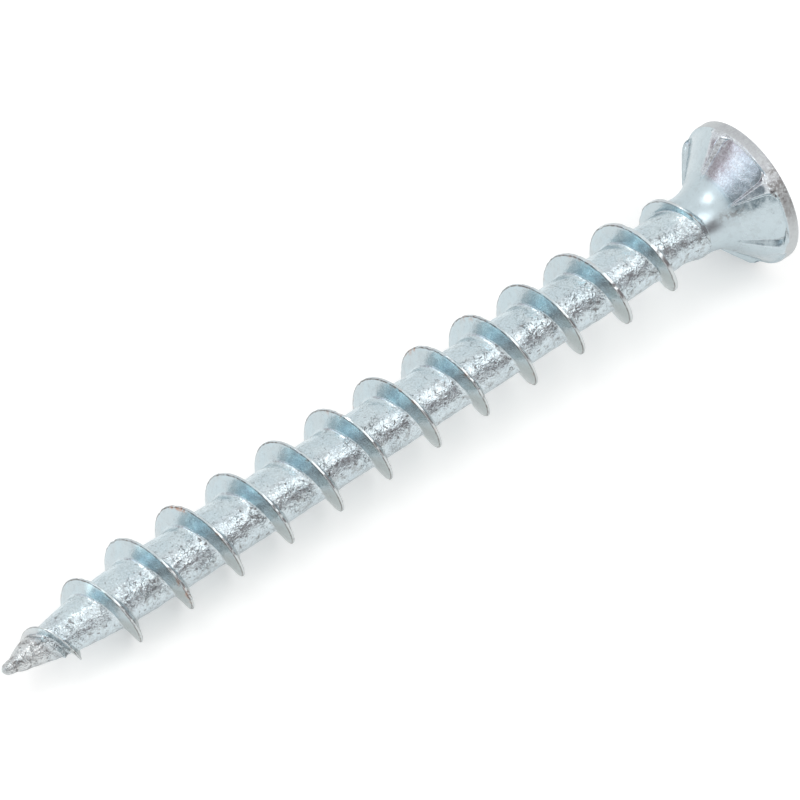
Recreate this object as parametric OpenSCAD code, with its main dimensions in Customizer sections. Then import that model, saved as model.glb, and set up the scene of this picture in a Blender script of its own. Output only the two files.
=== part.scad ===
// Self-tapping screw with a countersunk head, one piece of zinc-plated steel.
// Units are millimetres. The screw is built upright on its point, then laid on
// its side the way it comes to rest: on the rim of the head and on a crest of
// the thread near the point. The floor is z = 0 and the head is on the +x side.

/* [Length and shank] */
// Length from the point to the flat top of the head
length = 50; // [46:0.5:60]
// Diameter of the core between the turns of the thread
core_dia = 3.1; // [2.9:0.05:3.3]
// Diameter of the smooth neck under the head
neck_dia = 3.56; // [3.46:0.02:3.7]
// Length of the slim point, up to where the core has its full diameter
point_len = 9.2; // [8:0.1:11]
// How fast the point widens: 1 is a straight cone, more is fuller
point_bulge = 2.1; // [1.5:0.1:2.5]
// Radius of the blunt nose at the very point
nose_radius = 0.24; // [0.18:0.02:0.3]

/* [Thread] */
// Diameter over the crests of the thread
thread_dia = 5.2; // [5:0.05:5.5]
// Distance from one turn to the next, right-handed
pitch = 3.27; // [3.1:0.01:3.5]
// Width of the flat on the crest
crest_width = 0.13; // [0.08:0.01:0.2]
// Width of the thread at half its depth
waist_width = 0.48; // [0.4:0.02:0.56]
// Width of the thread at its foot, with the hollow that leads into the core
foot_width = 1.46; // [1.2:0.02:1.6]
// Height above the point where the thread rises out of the core
thread_start = 0.9; // [0.8:0.05:1.1]
// Height above the point of the first crest of the thread
first_crest = 1.6; // [1.4:0.05:1.9]
// Diameter over the first crest
first_dia = 2; // [1.8:0.05:2.2]
// Height above the point where the thread has its full diameter
thread_full = 7.2; // [6:0.1:8.5]
// Length over which the thread gets lower before it ends
fade_len = 4.3; // [3:0.1:6]
// Distance from the last high crest to the end of the thread
last_crest = 1.1; // [0.9:0.05:1.6]
// Diameter over the last high crest
last_dia = 4.64; // [4.3:0.02:5]
// Distance from the end of the thread to the hollow under the head
thread_gap = 0.15; // [0.1:0.05:0.5]
// Turn of the thread around the axis
thread_phase = 295.6; // [0:0.1:359]

/* [Head] */
// Diameter of the head over its rim
head_dia = 8.5; // [8.3:0.02:8.8]
// Height of the rim band
rim_height = 0.74; // [0.6:0.02:0.8]
// Rounding of the upper edge of the rim
rim_round = 0.15; // [0.1:0.05:0.25]
// Step from the rim band in to the underside of the head
rim_step = 0.17; // [0.12:0.01:0.24]
// Angle of the underside between the ribs from side to side
cone_angle = 88; // [84:1:92]
// Radius of the hollow between the underside and the neck
neck_hollow = 2.5; // [2.2:0.05:2.6]

/* [Milling ribs] */
// Number of ribs under the head
rib_count = 6; // [4:1:8]
// Height of the outer end of a rib, along the axis below the rim band
rib_end = 0.32; // [0.2:0.01:0.4]
// Angle over the tops of two opposite ribs
rib_angle = 100; // [96:1:104]
// Distance from the axis where a rib starts with no width
rib_start = 2.15; // [2:0.05:2.3]
// Width of a rib at the rim
rib_width = 0.7; // [0.5:0.02:0.9]
// Turn of the ribs around the axis
rib_phase = 36.5; // [0:0.5:59.5]

/* [Drive recess] */
// Distance over two opposite lobes of the recess
recess_across = 4.5; // [4.3:0.02:4.6]
// Distance between two opposite flutes of the recess
recess_waist = 3.26; // [3.16:0.02:3.36]
// Radius of the end of a lobe
lobe_radius = 0.38; // [0.34:0.01:0.42]
// Depth of the lobes
recess_depth = 2.1; // [1.8:0.05:2.2]
// Width of the bevel around the mouth of the recess
recess_bevel = 0.12; // [0.06:0.02:0.16]

/* [Resting pose] */
// Side of the screw that lies on the floor, as an angle around the axis
rest_turn = 60; // [0:1:359]

/* [View] */
// Part to draw

/* [Hidden] */
steel = [0.78, 0.82, 0.86];

// Radii of the shank
core_r = core_dia / 2;
crest_r = thread_dia / 2;
neck_r = neck_dia / 2;
head_r = head_dia / 2;

// Underside of the head, as depths below its top: a cone between the step under
// the rim and the hollow, and the hollow down to the neck
half_angle = cone_angle / 2;
side_r = head_r - rim_step;
hollow_r = neck_r + neck_hollow * (1 - cos(half_angle));
hollow_top = rim_height + (side_r - hollow_r) / tan(half_angle);
hollow_end = hollow_top + neck_hollow * sin(half_angle);

// The shank reaches up into the neck and is a little slimmer than the neck
sunk = 0.02;
shank_lap = 0.4;
shank_top = length - hollow_end + shank_lap;
thread_end = length - hollow_end - thread_gap;
ramp_low = thread_end - 1.3;
ramp_high = thread_end - 0.1;

// Crest radius of the thread over the height above the point
crest_line = [
    [thread_start, core_at(thread_start)],
    [first_crest, first_dia / 2],
    [thread_full, crest_r],
    [thread_end - fade_len, crest_r],
    [thread_end - last_crest, last_dia / 2],
    [thread_end, core_at(thread_end)]
];

// One turn of the thread: distance from the crest along the axis, and height
// as a share of the thread depth, from one valley over the crest to the next
low_share = 0.13;
low_width = waist_width + 0.36 * (foot_width - waist_width);
turn_line = [
    [-pitch / 2, 0],
    [-foot_width / 2, 0],
    [-low_width / 2, low_share],
    [-waist_width / 2, 0.5],
    [-crest_width / 2, 1],
    [crest_width / 2, 1],
    [waist_width / 2, 0.5],
    [low_width / 2, low_share],
    [foot_width / 2, 0]
];
rows = len(turn_line);
steps = 36;
turns = ceil(length / pitch) + 2;
ring_low = thread_start - 0.1;
nose_angles = [25, 50, 75];
nose_rings = len(nose_angles);

// Flute radius that makes the flutes run smoothly into the lobes
lobe_at = recess_across / 2 - lobe_radius;
flute_radius = (lobe_at * lobe_at + pow(recess_waist / 2, 2)
    - lobe_at * recess_waist * cos(30) - lobe_radius * lobe_radius)
    / (2 * lobe_radius - recess_waist + 2 * lobe_at * cos(30));
flute_at = recess_waist / 2 + flute_radius;
flute_turn = asin(lobe_at * sin(30) / (lobe_radius + flute_radius));
lobe_turn = 30 + flute_turn;

// The axis leans by the angle at which the rim and the lowest crest touch the floor
rest_crests = [for (k = [0 : turns]) pitch * ((rest_turn - thread_phase) / 360 + k)];
rest_lean = min([for (t = rest_crests)
    if (t > first_crest && t < thread_end - fade_len)
        atan((head_r - crest_at(t)) / (length - rim_height - t))]);
rest_lift = head_r * cos(rest_lean) - (length - rim_height) * sin(rest_lean);
rest_reach = (length - rim_round) * cos(rest_lean)
    + (head_r - rim_round) * sin(rest_lean) + rim_round;

function ease(u) = let (v = max(0, min(1, u))) v * v * (3 - 2 * v);

// Radius of the bare core at height t above the point
function core_at(t) =
    let (u = max(0, min(1, t / point_len)))
    nose_radius + (core_r - nose_radius) * (1 - pow(1 - u, point_bulge))
        + (neck_r - sunk - core_r) * ease((t - ramp_low) / (ramp_high - ramp_low));

// Radius of the crest at height t above the point
function crest_at(t) =
    t < thread_start || t > thread_end ? core_at(t) : lookup(t, crest_line);

// Height of the crest at step i around the screw in the turn that row q belongs to
function crest_height(i, q) =
    pitch * (i / steps - thread_phase / 360 + floor(q / rows));

// Point of the threaded skin at step i and row q, as [radius, height]
function skin_at(i, q) =
    let (
        t = crest_height(i, q),
        depth = max(0, crest_at(t) - core_at(t)),
        share = turn_line[q % rows][1],
        valley = q % rows == 0,
        wide = valley ? 1 : max(0.4, min(1, depth / (crest_r - core_r))),
        z = t + wide * turn_line[q % rows][0]
    )
    [core_at(z) + share * depth, z];

function around(i, r, z) = [r * cos(360 * i / steps), r * sin(360 * i / steps), z];

// Number of a skin point; above and below the thread it is a point of an end ring
function skin_index(i, q) =
    let (step = i % steps, row = q + rows * floor(i / steps), last = rows * turns)
    row >= last ? top_index(step)
    : let (z = skin_at(step, row)[1])
        z <= ring_low ? nose_index(step, nose_rings)
        : z >= shank_top ? top_index(step)
        : (nose_rings + 2) * steps + 1 + step * last + row;

// The points start with the tip, the rings of the nose, the ring on which the
// thread starts and the ring that closes the shank
function nose_index(i, ring) = 1 + ring * steps + i % steps;
function top_index(i) = 1 + (nose_rings + 1) * steps + i % steps;

function whole(face) = face[0] != face[1] && face[1] != face[2] && face[2] != face[0];

// Side of a regular outline of lobes and flutes for the recess
function recess_outline() = [
    for (k = [0 : 5]) each concat(
        [for (a = [-4 : 4]) let (b = 60 * k + a * lobe_turn / 4)
            lobe_at * [cos(60 * k), sin(60 * k)] + lobe_radius * [cos(b), sin(b)]],
        [for (a = [-3 : 3]) let (c = 60 * k + 30, b = c + 180 - a * flute_turn / 4)
            flute_at * [cos(c), sin(c)] + flute_radius * [cos(b), sin(b)]]
    )
];

// Core and thread from the point up into the neck
module shank() {
    nose = concat(
        [for (a = nose_angles) let (z = nose_radius * (1 - cos(a))) [core_at(z) * sin(a), z]],
        [[core_at(ring_low), ring_low], [core_at(shank_top), shank_top]]
    );
    points = concat(
        [[0, 0, 0]],
        [for (ring = nose) for (i = [0 : steps - 1]) around(i, ring[0], ring[1])],
        [for (i = [0 : steps - 1]) for (q = [0 : rows * turns - 1])
            let (p = skin_at(i, q)) around(i, p[0], p[1])]
    );
    tip = [for (i = [0 : steps - 1]) [0, nose_index(i, 0), nose_index(i + 1, 0)]];
    nose_skin = [for (ring = [0 : nose_rings - 1]) for (i = [0 : steps - 1])
        each let (
            a = nose_index(i, ring), b = nose_index(i, ring + 1),
            c = nose_index(i + 1, ring + 1), d = nose_index(i + 1, ring)
        ) [[a, b, c], [a, c, d]]];
    thread_skin = [for (i = [0 : steps - 1]) for (q = [0 : rows * turns - 1])
        each let (
            a = skin_index(i, q), b = skin_index(i, q + 1),
            c = skin_index(i + 1, q + 1), d = skin_index(i + 1, q)
        ) [for (face = [[a, b, c], [a, c, d]]) if (whole(face)) face]];
    lid = [[for (i = [steps - 1 : -1 : 0]) top_index(i)]];
    polyhedron(points, concat(tip, nose_skin, thread_skin, lid), convexity = 20);
}

// Rim, underside and hollow of the head as one turned body
module head_body() {
    outline = concat(
        [[0, 0]],
        [for (a = [90 : -15 : 0])
            [head_r - rim_round + rim_round * cos(a), -rim_round + rim_round * sin(a)]],
        [[head_r, -rim_height], [side_r, -rim_height]],
        [for (a = [half_angle : -half_angle / 10 : 0])
            [neck_r + neck_hollow * (1 - cos(a)), -hollow_end + neck_hollow * sin(a)]],
        [[0, -hollow_end]]
    );
    rotate_extrude($fn = 120) polygon(outline);
}

// Wedge-shaped ribs that mill the seat for the head
module ribs() {
    top_r = head_r - sunk;
    flare = rib_width / 2 / (head_r - rib_start);
    high = rim_height + rib_end;
    low = high + (top_r - neck_r) / tan(rib_angle / 2);
    for (k = [0 : rib_count - 1])
        rotate(rib_phase + k * 360 / rib_count)
            intersection() {
                rotate_extrude($fn = 120)
                    polygon([
                        [1, -rim_height / 2], [top_r, -rim_height / 2],
                        [top_r, -high], [neck_r, -low], [1, -low]
                    ]);
                translate([0, 0, -low - 1])
                    linear_extrude(low + 1)
                        polygon([
                            [rib_start, 0],
                            [head_dia, flare * (head_dia - rib_start)],
                            [head_dia, -flare * (head_dia - rib_start)]
                        ]);
            }
}

// Recess for a six-lobed key, with a drilled bottom and a bevelled mouth
module recess() {
    translate([0, 0, -recess_depth])
        linear_extrude(recess_depth + 1)
            polygon(recess_outline());
    translate([0, 0, -recess_depth - 0.35])
        cylinder(h = 0.4, r1 = 0.5, r2 = recess_waist / 2 - 0.05, $fn = 60);
    mouth = recess_across / 2 + recess_bevel;
    translate([0, 0, -mouth / 2])
        cylinder(h = mouth / 2 + 0.01, r1 = 0.02, r2 = mouth + 0.02, $fn = 60);
}

module head() {
    translate([0, 0, length])
        difference() {
            union() {
                head_body();
                ribs();
            }
            recess();
        }
}

module screw() {
    color(steel)
        translate([-rest_reach / 2, 0, rest_lift])
            rotate([0, 90 - rest_lean, 0])
                rotate(-rest_turn) {
                    shank();
                    head();
                }
}

screw();
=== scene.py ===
"""Looks of the self-tapping screw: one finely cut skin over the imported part, zinc material and a studio."""

import math
from types import SimpleNamespace

import bmesh
import bpy
import numpy as np
from mathutils import Euler, Matrix, Vector


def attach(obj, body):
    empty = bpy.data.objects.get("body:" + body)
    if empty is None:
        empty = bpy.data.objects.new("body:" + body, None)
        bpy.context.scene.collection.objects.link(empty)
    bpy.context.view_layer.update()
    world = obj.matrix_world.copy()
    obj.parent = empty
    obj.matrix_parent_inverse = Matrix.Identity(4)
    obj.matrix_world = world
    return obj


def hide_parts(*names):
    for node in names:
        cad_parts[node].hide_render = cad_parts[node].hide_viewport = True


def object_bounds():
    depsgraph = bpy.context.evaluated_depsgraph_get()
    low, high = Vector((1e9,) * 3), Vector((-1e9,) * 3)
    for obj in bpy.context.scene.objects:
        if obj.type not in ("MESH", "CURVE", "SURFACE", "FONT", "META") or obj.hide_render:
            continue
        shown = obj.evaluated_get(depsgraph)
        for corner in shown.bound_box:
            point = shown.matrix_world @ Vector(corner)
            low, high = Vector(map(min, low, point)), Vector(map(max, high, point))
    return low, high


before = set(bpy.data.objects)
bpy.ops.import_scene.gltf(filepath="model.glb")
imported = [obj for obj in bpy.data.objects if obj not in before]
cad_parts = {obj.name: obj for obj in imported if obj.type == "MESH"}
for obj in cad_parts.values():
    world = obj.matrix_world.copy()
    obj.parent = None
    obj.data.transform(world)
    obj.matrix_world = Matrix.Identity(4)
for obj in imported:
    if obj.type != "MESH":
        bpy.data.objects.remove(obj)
cad_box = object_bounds()

MM = 0.001
FULL_TURN = 2 * math.pi

# Sizes are in millimetres and angles around the screw in degrees, unless a line says otherwise. Heights are
# measured from the point and depths from the face of the head.
# Shank and point, as in the part's source
LENGTH = 50.0
CORE_R = 1.55
NECK_R = 1.78
NECK_LEAD = 1.3
NECK_RAMP = 1.2
POINT_LEN = 9.2
POINT_BULGE = 2.1
NOSE_R = 0.24

# Thread, as in the part's source
CREST_R = 2.6
PITCH = 3.27
THREAD_START = 0.9
FIRST_CREST, FIRST_R = 1.6, 1.0
THREAD_FULL = 7.2
FADE_LEN = 4.3
LAST_CREST, LAST_R = 1.1, 2.32
THREAD_GAP = 0.15
PHASE = 295.6
LEAST_WIDTH = 0.4
TURNS = math.ceil(LENGTH / PITCH) + 2

# Head and its ribs, as in the part's source
HEAD_R = 4.25
RIM_HEIGHT = 0.74
RIM_ROUND = 0.15
SIDE_R = 4.08
HALF_ANGLE = math.radians(44)
NECK_HOLLOW = 2.5
RIB_COUNT = 6
RIB_STEP = FULL_TURN / RIB_COUNT
RIB_END = 0.32
RIB_ANGLE = math.radians(50)
RIB_START = 2.15
RIB_WIDTH = 0.7
RIB_PHASE = 36.5

# Drive recess, as in the part's source
LOBE_R = 0.38
LOBE_AT = 1.87
LOBE_STEP = math.pi / 3
FLUTE_WAIST = 1.63
MOUTH_R = 2.37
BEVEL_SLOPE = 1.983
RECESS_DEPTH = 2.1
RECESS_POINT = 0.35

REST_TURN = 60.0

HOLLOW_R = NECK_R + NECK_HOLLOW * (1 - math.cos(HALF_ANGLE))
HOLLOW_TOP = RIM_HEIGHT + (SIDE_R - HOLLOW_R) / math.tan(HALF_ANGLE)
HOLLOW_END = HOLLOW_TOP + NECK_HOLLOW * math.sin(HALF_ANGLE)
THREAD_END = LENGTH - HOLLOW_END - THREAD_GAP

# Details that only the skin has: roundings and insets, the relief left in the curve of the neck, the flatter
# wall before the lowest rib in view, the pinch behind the nub, and the worn crest
RIM_EDGE = 0.11
RIB_END_ROUND = 0.28
RIM_INSET = 0.01
STEP_LEAN, STEP_DROP = 0.03, 0.02
RIB_INSET = 0.02
RIB_LIFT = 0.05
RIB_BEVEL, RIB_TIP, RIB_RAMP = 0.05, 0.012, 0.15
WALL_FOOT, WALL_SLOPE, WALL_FLARE, WALL_FLARE_LEN = 0.03, 0.5, 0.45, 0.5
WALL_WIDTHS = (1, 1, 1, 1, 2.2, 1)
WALL_INSET, WALL_DRAFT, BOTTOM_INSET = 0.004, 0.02, 0.03
HOLLOW_RELIEF = 0.12
DRILLED_BELOW = (1.6, 1.1)
PINCH_Z, PINCH_DEPTH, PINCH_HALF = 0.66, 0.045, 0.11
PINCH_DARK, PINCH_DARK_HALF = 0.95, 0.12
WORN_CREST, MORE_WORN, WORN_FROM, WORN_RAMP = 0.012, 0.045, 34, 8

# Marks on the shank. A side of the screw is its middle and half width in degrees. A name that ends in FROM,
# TO or BELOW is where a fade starts or ends, and its length. Two darker lines lie beside the second ridge, in
# the colour only
BEATEN_SIDE, BEATEN_BELOW = (316, 15), (14, 3)
# Painted blue reflection on the flanks of one side; painted olive shade on the lower side
BLUE_REFLECTION_SIDE, OLIVE_SHADE_AT = (246, 22), 345
# From 240 degrees on, the core is painted darker and duller as painted shade, a little less so past 308
# degrees
LOWER_SHADE_FROM, LOWEST_FROM = (240, 24), (308, 16)
LUMP_SIDE, LUMP_Z, LUMP_HALF = (200, 65), 1.55, 0.55
RIDGE_LEAD, RIDGE_HALF, RIDGE_FROM, RIDGE_TO = 0.6, 0.12, (130, 60), (345, 15)
GROOVE_LEAD, GROOVE_HALF, GROOVE_FROM = 0.3, 0.12, (170, 40)
CREASE_FROM, CREASE_TO = (150, 50), (340, 15)
CREASE_BEFORE, CREASE_BEHIND = (-0.2, 0.1), (0.22, 0.08)
YOUNG_FROM, YOUNG_BELOW = (0.8, 0.3), (4.4, 1.0)
RUST_BELOW, POINT_BELOW, ROUGH_BELOW = (41, 4), (3.4, 1.6), (5, 2)
NECK_FROM_TURN, NECK_FADE = 14, (0.1, 0.2)

# Heights and depths of those marks
ROLLED_FINE, ROLLED_BROAD = 0.006, 0.009
NICK_DEPTH, CHIP_DEPTH, BEATEN_CHIP, BURR_HEIGHT = 0.012, 0.05, 0.05, 0.07
LUMP_HEIGHT, RIDGE_HEIGHT, GROOVE_DEPTH = 0.12, 0.19, 0.05

# Marks under the head and on its rim, in the same way. Most are painted light: painted highlights on the lit
# side, painted shade on the rib walls, on the rim and on the cone outside the lit pocket, and a painted dark
# reflection in the curve of the neck; the pebbles are dirt
# Side of the painted shade on the rib walls and its lowest wall, and the lit side of the painted highlights
SHADED_WALL_SIDE, LOWEST_WALL, LIT_SIDE = (272, 72), (331, 6), (250, 34)
# Sides of the painted shade on the rim, of the dirt pebbles and of the painted dark reflection
RIM_SHADE_SIDE, PEBBLE_SIDE, DARK_REFLECTION_SIDE = (283, 19), (266, 6), (286, 8)
# The cone is painted in shade outside these sides and painted lit in the pocket between them
SHADE_FROM, SHADE_BELOW = (274, 14), (214, 12)
OUTER_FROM, PEBBLES_FROM = (2.5, 0.6), (3.1, 0.5)
# Radii of the painted dark reflection in the curve of the neck
DARK_REFLECTION_FROM, DARK_REFLECTION_BELOW = (1.8, 0.2), (3.3, 0.8)
HEAD_FINE, HEAD_BROAD = 0.004, 0.01
# Painted shade inside the recess, with less of it at the bottom
RECESS_SHADE, BOTTOM_LESS_SHADE, BOTTOM_AT = 0.6, 0.3, 1.9

# Half of one turn of the thread: distance from the crest along the axis, share of the thread depth
FLANK = np.array([
    (0.0, 1.0), (0.035, 0.995), (0.062, 0.96), (0.09, 0.905), (0.13, 0.8), (0.18, 0.655),
    (0.24, 0.49), (0.3, 0.33), (0.355, 0.2), (0.395, 0.12), (0.427, 0.064), (0.456, 0.028),
    (0.495, 0.008), (0.73, 0.0),
])
FOOT_AT = FLANK[-1, 0]

# How finely the skin is cut, and how far the nose's own rings end below the thread
STEPS = 120
NOSE_LAP = 0.1
ROOT_ROWS = 5
NOSE_TURNS = np.radians([18, 36, 54, 72, 90])
NUB_HEIGHTS = (0.32, 0.4, 0.48, 0.54, 0.6, 0.66, 0.72)
HOLLOW_ROWS = 19
CONE_ROWS = 31
CONE_CROWDING = 1.25
RIB_END_ROWS = (0.04, 0.35, 0.7, 0.96)
RIM_EDGE_TURNS = np.radians([80, 60, 45, 30, 10])
RIM_SIDE_ROWS = (0.3, 0.65, 0.95)
RIM_ROUND_TURNS = np.radians([0, 15, 30, 45, 60, 75, 90])
FACE_RADII = (4.02, 3.4, 2.9, 2.5)
BEVEL_ROWS = (0.0, 0.3, 0.7, 1.0)
RECESS_WALL_ROWS = (0.02, 0.25, 0.5, 0.75, 1.0)
RECESS_BOTTOM_ROWS = (0.1, 0.4, 0.7, 0.95)
POCKET_COLUMNS = 26
FACE_STEPS = 288
ARC_STEPS = 60
SHARP_EDGE = math.radians(34)

# Masks that the material reads, by the colour attribute that holds four of them, and one by itself.
# crest, flank and foot follow the thread's profile; foot is a pale line at the thread's foot, and under the
# head the painted highlight on the rib edges and the rim's step.
# head is 0.3 on the neck, 0.5 on the cone, 0.8 on the face and 1 on the rim.
# stain is where rust may sit and tip the matt point. The mask by itself is how rough the core is on that
# side, and it also paints the lower side darker, as painted shade. After tip comes the mask of dirt and
# painted shade: dirt pebbles on the outer cone, painted shade on the rib walls, the rim and in the recess, a
# painted dark reflection on the curve of the neck, and darker lines by the second ridge and in the pinch. The
# last is the side mask of painted
# reflection and light: blue reflection at 0, olive painted shade at 1, and under the head 0 in the painted
# lit pocket.
LAYERS = {"marks": ("crest", "flank", "head", "stain"), "wear_and_painted_light": ("tip", "dirt", "foot", "cast")}
GRIT_AND_SHADE = "grit"
MASKS = (*LAYERS["marks"], *LAYERS["wear_and_painted_light"], GRIT_AND_SHADE)
NECK_MASK, FACE_MASK = 0.3, 0.8


def ease(u):
    """Smooth step from 0 to 1."""
    v = np.clip(u, 0.0, 1.0)
    return v * v * (3 - 2 * v)


def rise(value, start, length):
    """0 up to the start, then 1 after the length."""
    return ease((value - start) / length)


def fall(value, end, length):
    """1 up to one length before the end, then 0 from the end on."""
    return ease((end - value) / length)


def bell(u, power=2):
    """Smooth hump: 1 at 0, and less on both sides. A higher power makes it flatter with steeper sides."""
    return np.exp(-np.abs(u) ** power)


def side(degrees, place, power=2):
    """Hump around one side of the screw, given as its middle and half width."""
    middle, half = place
    return bell((degrees - middle) / half, power)


class Ripple:
    """Smooth random relief in space: a sum of seeded plane waves of about one length."""

    def __init__(self, seed, wave, count=28):
        rng = np.random.default_rng(seed)
        way = rng.normal(size=(count, 3))
        way /= np.linalg.norm(way, axis=1)[:, None]
        self.waves = way * (FULL_TURN / (wave * rng.uniform(0.7, 1.5, count)))[:, None]
        self.shifts = rng.uniform(0, FULL_TURN, count)
        self.scale = math.sqrt(2.0 / count)

    def __call__(self, points):
        flat = np.reshape(points, (-1, 3))
        out = np.zeros(len(flat))
        for wave, shift in zip(self.waves, self.shifts):
            out += np.cos(flat @ wave + shift)
        return (out * self.scale).reshape(np.shape(points)[:-1])


FINE, BROAD, SLOW = Ripple(11, 0.32), Ripple(12, 0.9), Ripple(13, 2.6)
CHIPS, BURRS = Ripple(21, 0.5), Ripple(22, 0.3)


def core_at(z):
    """Radius of the core at this height above the point."""
    u = np.clip(z / POINT_LEN, 0, 1)
    swell = rise(z, THREAD_END - NECK_LEAD, NECK_RAMP)
    return NOSE_R + (CORE_R - NOSE_R) * (1 - (1 - u) ** POINT_BULGE) + (NECK_R - CORE_R) * swell


def crest_at(z):
    """Radius of the thread's crest at this height above the point."""
    heights = [THREAD_START, FIRST_CREST, THREAD_FULL,
               THREAD_END - FADE_LEN, THREAD_END - LAST_CREST, THREAD_END]
    radii = [core_at(THREAD_START), FIRST_R, CREST_R, CREST_R, LAST_R, core_at(THREAD_END)]
    inside = (z >= THREAD_START) & (z <= THREAD_END)
    return np.where(inside, np.interp(z, heights, radii), core_at(z))


def pinch(z):
    """Depth of the pinch behind the nub at the very point."""
    return PINCH_DEPTH * bell((z - PINCH_Z) / PINCH_HALF)


def pinch_dark(z):
    """Darker colour in that pinch, a little wider than the pinch itself."""
    return PINCH_DARK * bell((z - PINCH_Z) / PINCH_DARK_HALF)


def polar(angle, r, z):
    """Points from an angle in radians, a radius and a height."""
    return np.stack(np.broadcast_arrays(r * np.cos(angle), r * np.sin(angle), z), axis=-1)


class Skin:
    """Points, faces and the masks that the material reads."""

    def __init__(self):
        self.points, self.masks, self.faces = [], [], []
        self.count = 0

    def add(self, points, **masks):
        """Add points with the masks that aren't zero, and give back their numbers."""
        points = np.asarray(points).reshape(-1, 3)
        values = np.zeros((len(points), len(MASKS)))
        for name, mask in masks.items():
            values[:, MASKS.index(name)] = np.reshape(mask, -1)
        self.points.append(points)
        self.masks.append(values)
        first, self.count = self.count, self.count + len(points)
        return np.arange(first, self.count)

    def quads(self, a, b, c, d):
        self.faces.append(np.stack([a, b, c, d], axis=-1).reshape(-1, 4))

    def triangles(self, a, b, c):
        self.quads(a, b, c, c)

    def rings(self, grid):
        """Faces between rings of the same number of points; each row of the grid is a closed ring."""
        beside = np.roll(grid, -1, axis=1)
        self.quads(grid[:-1], grid[1:], beside[1:], beside[:-1])

    def bridge(self, low, low_angle, high, high_angle):
        """Faces between two closed rings with different numbers of points, matched by angle."""
        start = int(np.argmin((high_angle - low_angle[0]) % FULL_TURN))
        high = np.roll(high, -start)
        high_angle = low_angle[0] + (np.roll(high_angle, -start) - low_angle[0]) % FULL_TURN
        low_angle = np.append(low_angle, low_angle[0] + FULL_TURN)
        high_angle = np.append(high_angle, high_angle[0] + FULL_TURN)
        lows, highs = len(low), len(high)
        i = j = 0
        found = []
        while i < lows or j < highs:
            if j == highs or (i < lows and low_angle[i + 1] <= high_angle[j + 1]):
                found.append((low[i % lows], high[j % highs], low[(i + 1) % lows]))
                i += 1
            else:
                found.append((low[i % lows], high[j % highs], high[(j + 1) % highs]))
                j += 1
        self.triangles(*np.array(found).T)


# Rows of one turn: they follow the thread around, as in the part's source
ROW_AT = np.concatenate([
    np.linspace(-PITCH / 2, -FOOT_AT, ROOT_ROWS + 1)[:-1],
    -FLANK[::-1, 0], FLANK[1:, 0],
    np.linspace(FOOT_AT, PITCH / 2, ROOT_ROWS + 1)[1:-1],
])
ROW_SHARE = np.interp(np.abs(ROW_AT), FLANK[:, 0], FLANK[:, 1])
ROWS = len(ROW_AT)

# Angles of the steps in radians, and the heights between which the rows are kept
AROUND = FULL_TURN * np.arange(STEPS) / STEPS
LOW_Z = THREAD_START - NOSE_LAP
TOP_Z = LENGTH - HOLLOW_END


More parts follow.
